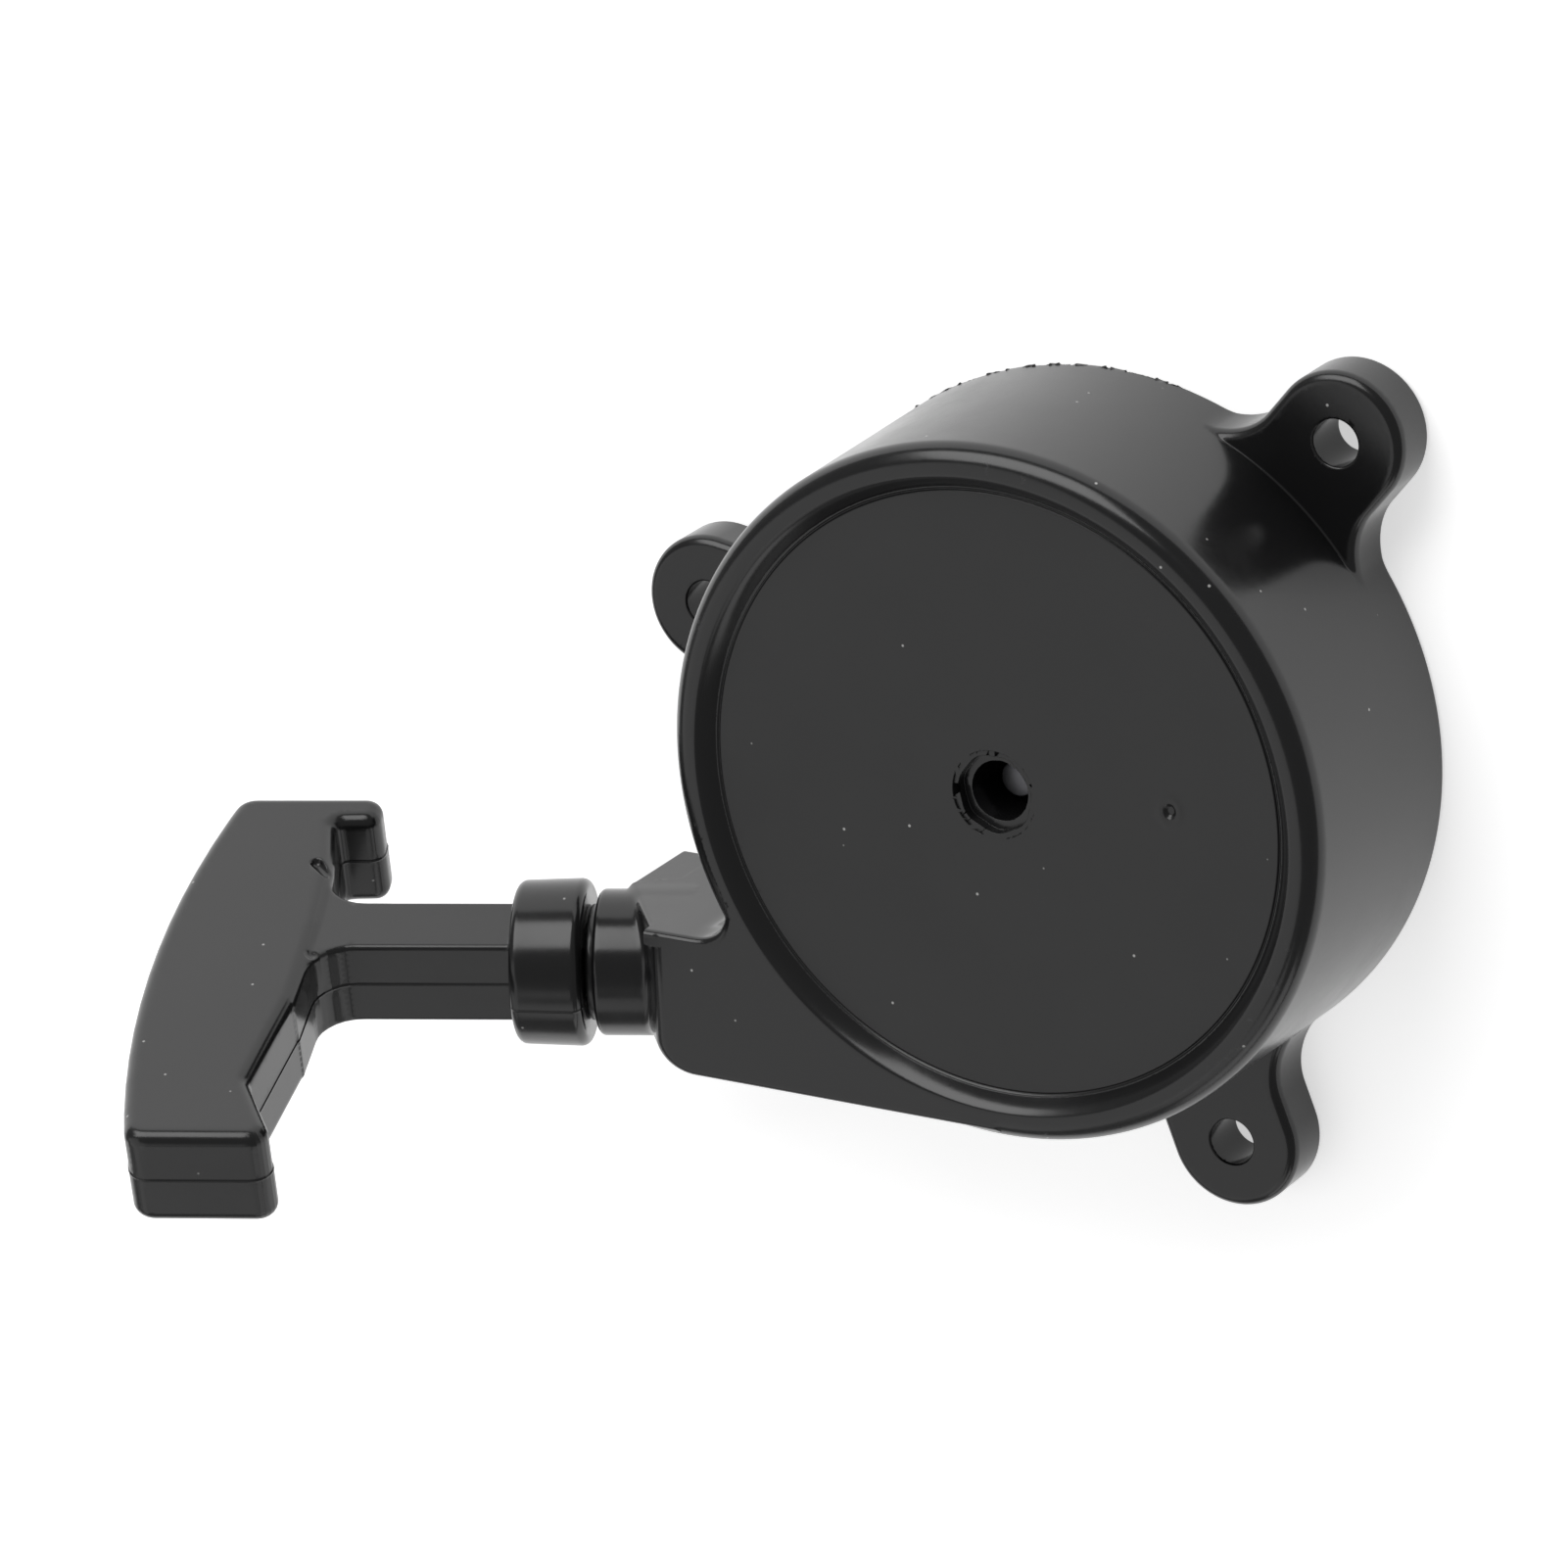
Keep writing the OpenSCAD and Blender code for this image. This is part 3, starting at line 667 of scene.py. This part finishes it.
HOUSING_BLACK = (0.0075, 0.0075, 0.0078)
housing_plastic = moulded("housing_plastic", HOUSING_BLACK, 0.13, 0.23, scuff_highlight=rim_scuffs_and_highlight, matt=disc_matt)
grip_plastic = moulded("grip_plastic", (0.0078, 0.0078, 0.0080), 0.14, 0.24, grain=0.000008, dust=0.6)
bush_plastic = moulded("bush_plastic", (0.008, 0.008, 0.0085), 0.2, 0.3)
reel_plastic = moulded("reel_plastic", (0.045, 0.045, 0.047), 0.34, 0.5, grain=0.00002)
zinc_steel = metal("zinc_steel", (0.62, 0.62, 0.63), 0.22, 0.36, (1, 1, 6))
dark_steel = metal("dark_steel", (0.16, 0.16, 0.17), 0.3, 0.42)
hard_steel = metal("hard_steel", (0.46, 0.46, 0.47), 0.28, 0.42, (1, 8, 1))
spring_steel = metal("spring_steel", (0.30, 0.31, 0.34), 0.2, 0.34, (6, 6, 1), (0.22, 0.20, 0.24))
bearing_brass = metal("bearing_brass", (0.72, 0.56, 0.27), 0.24, 0.36, (1, 1, 7), (0.45, 0.32, 0.14))
rope_nylon = braided("rope_nylon", MOUTH, ROPE_OUT, ROPE_SIDE)
coil_nylon = braided("coil_nylon", (0, 0, 13.3), np.array((0, 0, 1.0)), np.array((1.0, 0, 0)))

# ---------------------------------------------------------------- housing and handle meshes
# Grid step, finest edge and rounds of splitting
COARSE, FINEST, ROUNDS = ((0.95, 0.16, 5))


def housing_edge(p):
    """Longest edge wanted at a place on the housing: short on the front's flank, groove and gate mark."""
    rho = np.hypot(p[:, 0], p[:, 1])
    want = np.full(len(p), 1.3)
    front = p[:, 2] > 32.5
    want[front & (np.abs(rho - 43.3) < 1.9)] = 0.5
    want[front & (np.abs(rho - DISC_R + 0.15) < 0.6)] = 0.2
    want[front & (np.hypot(p[:, 0] - GATE_X, p[:, 1] - GATE_Y) < 1.9)] = 0.22
    want[(p[:, 2] > 28) & (rho > 43) & ~front] = 0.9
    return want


def grip_edge(p):
    """Longest edge wanted at a place on the handle: short on the parting line."""
    want = np.full(len(p), 1.2)
    want[np.abs(p[:, 1]) < 0.5] = 0.2
    return want


points, triangles = surface_net(housing_distance, (-80, -72, -2), (56, 62, 38), COARSE)
points, triangles, normals = refine(housing_distance, points, triangles, housing_edge, FINEST, ROUNDS)
points[:, 2] = np.maximum(points[:, 2], 0)
housing = smooth_object("housing_visual", points, triangles.tolist())
housing.data.normals_split_custom_set_from_vertices(normals.tolist())
finish_piece(housing, "root", "housing_plastic", housing_plastic, "housing")

points, triangles = surface_net(grip_distance, (-30, -12.5, -1), (50.5, 12.5, 63), COARSE)
points, triangles, normals = refine(grip_distance, points, triangles, grip_edge, FINEST, ROUNDS)
normals = normals[:, :1] * GRIP_X + normals[:, 1:2] * GRIP_Y + normals[:, 2:3] * ROPE_OUT
handle = smooth_object("handle_visual", from_grip(points), triangles.tolist())
handle.data.normals_split_custom_set_from_vertices(normals.tolist())
finish_piece(handle, "handle_body", "grip_plastic", grip_plastic, "handle")


# ---------------------------------------------------------------- turned, pressed and cut parts
SLOT_MATERIALS = {
    "bush_plastic": bush_plastic,
    "reel_plastic": reel_plastic,
    "zinc_steel": zinc_steel,
    "dark_steel": dark_steel,
    "hard_steel": hard_steel,
    "bearing_brass": bearing_brass,
}


def bevelled(node, width, body, slot):
    """A copy of a CAD node with its sharp edges broken and its flat faces kept flat."""
    piece = bpy.data.objects.new(node + "_visual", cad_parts[node].data.copy())
    bpy.context.scene.collection.objects.link(piece)
    shape = bmesh.new()
    shape.from_mesh(piece.data)
    bmesh.ops.remove_doubles(shape, verts=shape.verts, dist=2e-6)
    bmesh.ops.dissolve_limit(shape, angle_limit=math.radians(1.2), verts=shape.verts, edges=shape.edges)
    shape.to_mesh(piece.data)
    shape.free()
    piece.data.shade_smooth()
    bevel = piece.modifiers.new("bevel", "BEVEL")
    bevel.width = width * MM
    bevel.segments = 3
    bevel.limit_method = "ANGLE"
    bevel.angle_limit = math.radians(28)
    bevel.harden_normals = True
    bevel.use_clamp_overlap = True
    finish_piece(piece, body, slot, SLOT_MATERIALS[slot], node)


for node, width, body, slot in (
    ("rope_bush", 0.25, "root", "bush_plastic"),
    ("thrust_washer", 0.12, "root", "zinc_steel"),
    ("spring_case", 0.2, "root", "zinc_steel"),
    ("spring_case_screws", 0.15, "root", "zinc_steel"),
    ("centre_screw", 0.2, "root", "dark_steel"),
    ("retaining_washer", 0.15, "root", "zinc_steel"),
    ("reel", 0.25, "reel_body", "reel_plastic"),
    ("reel_bush", 0.15, "reel_body", "bearing_brass"),
    ("pawl_pin_a", 0.2, "reel_body", "dark_steel"),
    ("pawl_pin_b", 0.2, "reel_body", "dark_steel"),
    ("guide_plate", 0.15, "guide_body", "zinc_steel"),
    ("pawl_a", 0.2, "pawl_a_body", "hard_steel"),
    ("pawl_b", 0.2, "pawl_b_body", "hard_steel"),
    ("knot_washer", 0.12, "rope_end", "zinc_steel"),
):
    bevelled(node, width, body, slot)


# ---------------------------------------------------------------- wires and ropes
def tube(name, path, radius, sides=14, capped=True):
    """A round tube along a path of points in millimetres, with frames carried along it."""
    path = np.asarray(path, float)
    tangents = np.gradient(path, axis=0)
    tangents /= np.linalg.norm(tangents, axis=1)[:, None]
    angles = np.arange(sides) * 2 * math.pi / sides
    side = np.cross(tangents[0], (0.31, 0.17, 0.93))
    rings = []
    for centre, tangent in zip(path, tangents):
        side = side - (side @ tangent) * tangent
        side /= np.linalg.norm(side)
        up = np.cross(tangent, side)
        rings.append(centre + radius * (np.cos(angles)[:, None] * side + np.sin(angles)[:, None] * up))
    faces = []
    for i in range(len(path) - 1):
        ring, following = i * sides, (i + 1) * sides
        for j in range(sides):
            k = (j + 1) % sides
            faces.append([ring + j, ring + k, following + k, following + j])
    if capped:
        faces.append(list(range(sides))[::-1])
        faces.append([(len(path) - 1) * sides + j for j in range(sides)])
    return smooth_object(name, np.concatenate(rings), faces)


def helix(r, z0, z1, turns, start=0.0, per_turn=40):
    """Points of a helix round the reel axis."""
    t = np.linspace(0, 1, int(turns * per_turn) + 1)
    a = math.radians(start) + 2 * math.pi * turns * t
    return np.stack([r * np.cos(a), r * np.sin(a), z0 + (z1 - z0) * t], 1)


friction = tube("friction_spring_visual", helix(8.1, 6.95, 9.35, 2.5), 0.5)
finish_piece(friction, "guide_body", "spring_steel", spring_steel, "friction_spring")

# Each pawl spring is a small coil round its pin, with one straight leg
for node, sign in (("pawl_spring_a", 1), ("pawl_spring_b", -1)):
    path = helix(2.4, 13.2, 14.9, 2.5, 90)
    path = np.concatenate([path, [(-4.2, -2.6, 14.9)]]) + (15, 0, 0)
    path[:, :2] *= sign
    finish_piece(tube(node + "_visual", path, 0.35), "reel_body", "spring_steel", spring_steel, node)

# Two layers of rope on the drum: each turn lies beside the last one, and the second layer runs back
COIL_LOW, COIL_HIGH, COIL_TURNS = 10.3, 16.3, 2.4
windings = [
    helix(31.35, COIL_LOW, COIL_HIGH, COIL_TURNS, 0, 60),
    helix(34.6, COIL_HIGH, COIL_LOW, COIL_TURNS, 360 * COIL_TURNS, 60),
]
coil = tube("rope_coil_visual", np.concatenate(windings), ROPE_D / 2 - 0.03, 12)
finish_piece(coil, "reel_body", "rope_nylon", coil_nylon, "rope_coil")


def knot(node, centre, axis, side, size, body):
    """A tight overhand knot: one closed turn of rope that passes through itself."""
    t = np.linspace(0, 2 * math.pi, 90)
    loop = np.stack([np.sin(t) + 2 * np.sin(2 * t), np.cos(t) - 2 * np.cos(2 * t), -np.sin(3 * t)], 1)
    loop = loop / 3.0 * np.array((size, size, size * 1.15))
    path = centre + loop[:, :1] * side + loop[:, 1:2] * np.cross(axis, side) + loop[:, 2:] * axis
    piece = tube(node + "_visual", path, size * 0.52, 12, capped=False)
    finish_piece(piece, body, "rope_nylon", rope_nylon, node)


knot_turn = math.radians(240)
reel_out = np.array((math.cos(knot_turn), math.sin(knot_turn), 0))
knot("reel_knot", 23.9 * reel_out + (0, 0, 16.0), reel_out, np.array((0, 0, 1.0)), 1.9, "reel_body")
knot("handle_knot", MOUTH + 51.9 * ROPE_OUT, ROPE_OUT, GRIP_X, 2.15, "rope_end")

# Rope from the reel to the bush, and from there through the bush and the handle
run_start = np.array((-17, -35.6, 13.5))
run = tube("rope_run_visual", np.linspace(run_start, MOUTH - 8.0 * ROPE_OUT, 30), ROPE_D / 2, 16)
finish_piece(run, "root", "rope_nylon", rope_nylon, "rope_run")
lead = tube("rope_lead_visual", [MOUTH + s * ROPE_OUT for s in np.linspace(-8, 48.6, 60)], ROPE_D / 2, 16)
lead.data.materials.append(rope_nylon)
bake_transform(lead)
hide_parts("rope_lead")

# The spiral spring keeps its CAD mesh and only takes its material
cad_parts["recoil_spring"].data.materials.clear()
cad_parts["recoil_spring"].data.materials.append(spring_steel)

# ---------------------------------------------------------------- floor, light and camera, in metres
floor_mesh = bpy.data.meshes.new("floor")
floor_mesh.from_pydata([(-3, -3, 0), (3, -3, 0), (3, 3, 0), (-3, 3, 0)], [], [(0, 1, 2, 3)])
floor = bpy.data.objects.new("floor", floor_mesh)
bpy.context.scene.collection.objects.link(floor)
floor.location.z = -0.0004
floor_white, tree, shader = nodes_of("floor_white")
shader.inputs["Base Color"].default_value = (0.95, 0.95, 0.95, 1)
shader.inputs["Roughness"].default_value = 0.7
shader.inputs["Emission Color"].default_value = (1, 1, 1, 1)
shader.inputs["Emission Strength"].default_value = 0.55
floor.data.materials.append(floor_white)


def area(name, place, aim, size, power):
    """A rectangular soft box at a place, turned to its aim."""
    data = bpy.data.lights.new(name, "AREA")
    data.shape = "RECTANGLE"
    data.size, data.size_y = size
    data.energy = power
    lamp = bpy.data.objects.new(name, data)
    lamp.location = place
    lamp.rotation_euler = (Vector(aim) - Vector(place)).to_track_quat("-Z", "Y").to_euler()
    bpy.context.scene.collection.objects.link(lamp)


CUP_CENTRE = (0, 0, 0.03)
area("front_box", (-0.56, -0.40, 0.92), CUP_CENTRE, (1.3, 1.3), 3.6)
area("back_box", (-0.35, 1.0, 0.75), CUP_CENTRE, (1.1, 0.9), 11.0)
area("low_box", (0.35, -0.95, 0.30), CUP_CENTRE, (0.7, 0.35), 0.8)
area("end_box", (0.08, -1.00, 0.84), (-0.08, -0.05, 0.05), (0.7, 0.5), 0.8)
world = bpy.data.worlds.new("studio")
world.use_nodes = True
world.node_tree.nodes["Background"].inputs[0].default_value = (1, 1, 1, 1)
world.node_tree.nodes["Background"].inputs[1].default_value = 0.24
bpy.context.scene.world = world

CAMERA_AT = Vector((0.474408, 0.360100, 0.867229))
RIGHT = Vector((0.862446, -0.044683, -0.504173))
UP = Vector((-0.140159, 0.936060, -0.322718))
camera_data = bpy.data.cameras.new("camera")
camera_data.lens = 179.9
camera_data.sensor_width = 36
camera = bpy.data.objects.new("camera", camera_data)
facing = Matrix((RIGHT, UP, RIGHT.cross(UP))).transposed().to_4x4()
camera.matrix_world = Matrix.Translation(CAMERA_AT) @ facing
bpy.context.scene.collection.objects.link(camera)
bpy.context.scene.camera = camera
bpy.context.scene.view_settings.view_transform = "Standard"
